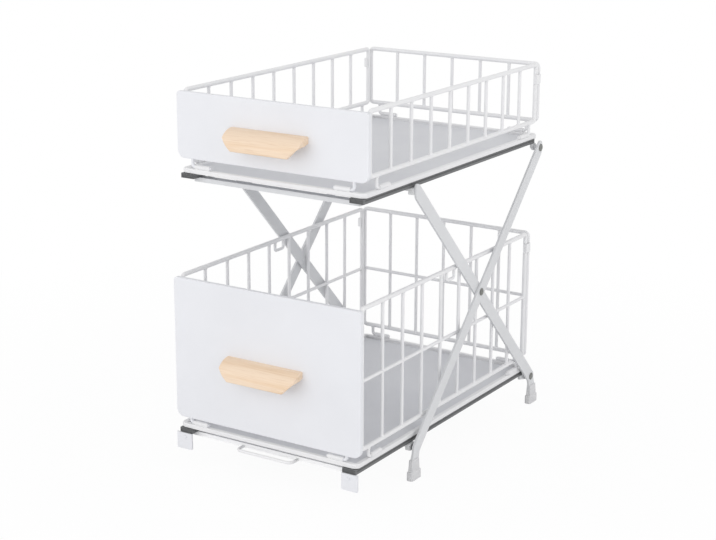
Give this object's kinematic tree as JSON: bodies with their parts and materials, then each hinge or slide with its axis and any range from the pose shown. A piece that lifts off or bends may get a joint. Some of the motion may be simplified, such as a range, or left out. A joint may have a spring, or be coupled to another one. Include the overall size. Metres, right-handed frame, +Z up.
{
  "type": "folding storage rack",
  "caption": "Folding white kitchen rack: stacked wire baskets with sheet-metal fronts and wooden pulls slide out on dark rails, joined by scissor legs with soft feet.",
  "frame": {"origin": "on the floor under the middle of the rack's bounding box", "axes": "+X to the right seen from the front, -Y towards the front panels, +Z up"},
  "size_m": [0.265, 0.4386, 0.4363],
  "materials": {
    "white_enamel": "satin",
    "grey_sheet": "satin",
    "dark_rail": "satin",
    "pale_wood": "satin",
    "grey_rubber": "matte",
    "block_plastic": "satin",
    "bare_steel": "satin"
  },
  "bodies": {
    "base": {"lower_rail_left": "dark_rail", "lower_rail_right": "dark_rail", "lower_channel_left": "white_enamel", "lower_channel_right": "white_enamel", "lower_bracket_left": "white_enamel", "lower_bracket_right": "white_enamel", "lower_pivot_left": "bare_steel", "lower_pivot_right": "bare_steel", "lower_front_bar": "white_enamel", "lower_rear_bar": "white_enamel", "front_tab_left": "white_enamel", "front_tab_right": "white_enamel", "front_pull": "white_enamel"},
    "inner_legs": {"inner_leg_left": "white_enamel", "inner_leg_right": "white_enamel", "rear_foot_left": "grey_rubber", "rear_foot_right": "grey_rubber", "inner_leg_pins": "bare_steel", "cross_rivet_left": "bare_steel", "cross_rivet_right": "bare_steel"},
    "outer_legs": {"outer_leg_left": "white_enamel", "outer_leg_right": "white_enamel", "front_foot_left": "grey_rubber", "front_foot_right": "grey_rubber", "outer_leg_pins": "bare_steel"},
    "upper_frame": {"upper_rail_left": "dark_rail", "upper_rail_right": "dark_rail", "upper_channel_left": "white_enamel", "upper_channel_right": "white_enamel", "upper_bracket_left": "white_enamel", "upper_bracket_right": "white_enamel", "upper_pivot_left": "bare_steel", "upper_pivot_right": "bare_steel", "upper_front_bar": "white_enamel", "upper_rear_bar": "white_enamel"},
    "upper_blocks": {"upper_slide_block_left": "block_plastic", "upper_slide_block_right": "block_plastic"},
    "lower_blocks": {"lower_slide_block_left": "block_plastic", "lower_slide_block_right": "block_plastic"},
    "lower_drawer": {"lower_tray_frame": "white_enamel", "lower_tray_sheet": "grey_sheet", "lower_runner_left": "dark_rail", "lower_runner_right": "dark_rail", "lower_front_panel": "white_enamel", "lower_handle": "pale_wood", "lower_handle_screws": "bare_steel", "lower_back_grid": "white_enamel"},
    "upper_drawer": {"upper_tray_frame": "white_enamel", "upper_tray_sheet": "grey_sheet", "upper_runner_left": "dark_rail", "upper_runner_right": "dark_rail", "upper_front_panel": "white_enamel", "upper_handle": "pale_wood", "upper_handle_screws": "bare_steel", "upper_back_grid": "white_enamel"},
    "lower_side_left": {"lower_side_grid_left": "white_enamel"},
    "lower_side_right": {"lower_side_grid_right": "white_enamel"},
    "upper_side_left": {"upper_side_grid_left": "white_enamel"},
    "upper_side_right": {"upper_side_grid_right": "white_enamel"}
  },
  "joints": [
    {"name": "fold", "type": "hinge", "parent": "base", "child": "inner_legs", "pos_m": [0, 0.2043, 0.0361], "axis": [1, 0, 0], "range_deg": [0, 16]},
    {"name": "scissor", "type": "hinge", "parent": "inner_legs", "child": "outer_legs", "pos_m": [0, 0.0598, 0.18435], "axis": [1, 0, 0], "range_deg": [-32, 0]},
    {"name": "upper_level", "type": "hinge", "parent": "outer_legs", "child": "upper_frame", "pos_m": [0, 0.2043, 0.3326], "axis": [1, 0, 0], "range_deg": [0, 16]},
    {"name": "upper_block_turn", "type": "hinge", "parent": "inner_legs", "child": "upper_blocks", "pos_m": [0, -0.0847, 0.3326], "axis": [1, 0, 0], "range_deg": [-16, 0]},
    {"name": "lower_block_turn", "type": "hinge", "parent": "outer_legs", "child": "lower_blocks", "pos_m": [0, -0.0847, 0.0361], "axis": [1, 0, 0], "range_deg": [0, 16]},
    {"name": "lower_slide", "type": "slide", "parent": "base", "child": "lower_drawer", "axis": [0, -1, 0], "range_m": [0, 0.26]},
    {"name": "upper_slide", "type": "slide", "parent": "upper_frame", "child": "upper_drawer", "axis": [0, -1, 0], "range_m": [0, 0.26]},
    {"name": "lower_left_fold", "type": "hinge", "parent": "lower_drawer", "child": "lower_side_left", "pos_m": [-0.1199, 0, 0.0537], "axis": [0, 1, 0], "range_deg": [0, 90]},
    {"name": "lower_right_fold", "type": "hinge", "parent": "lower_drawer", "child": "lower_side_right", "pos_m": [0.1199, 0, 0.0537], "axis": [0, 1, 0], "range_deg": [-90, 0]},
    {"name": "upper_left_fold", "type": "hinge", "parent": "upper_drawer", "child": "upper_side_left", "pos_m": [-0.1199, 0, 0.3502], "axis": [0, 1, 0], "range_deg": [0, 90]},
    {"name": "upper_right_fold", "type": "hinge", "parent": "upper_drawer", "child": "upper_side_right", "pos_m": [0.1199, 0, 0.3502], "axis": [0, 1, 0], "range_deg": [-90, 0]}
  ],
  "couplings": [
    {"joint": "scissor", "follows": "fold", "ratio": -2},
    {"joint": "upper_level", "follows": "fold", "ratio": 1},
    {"joint": "upper_block_turn", "follows": "fold", "ratio": -1},
    {"joint": "lower_block_turn", "follows": "fold", "ratio": 1}
  ]
}
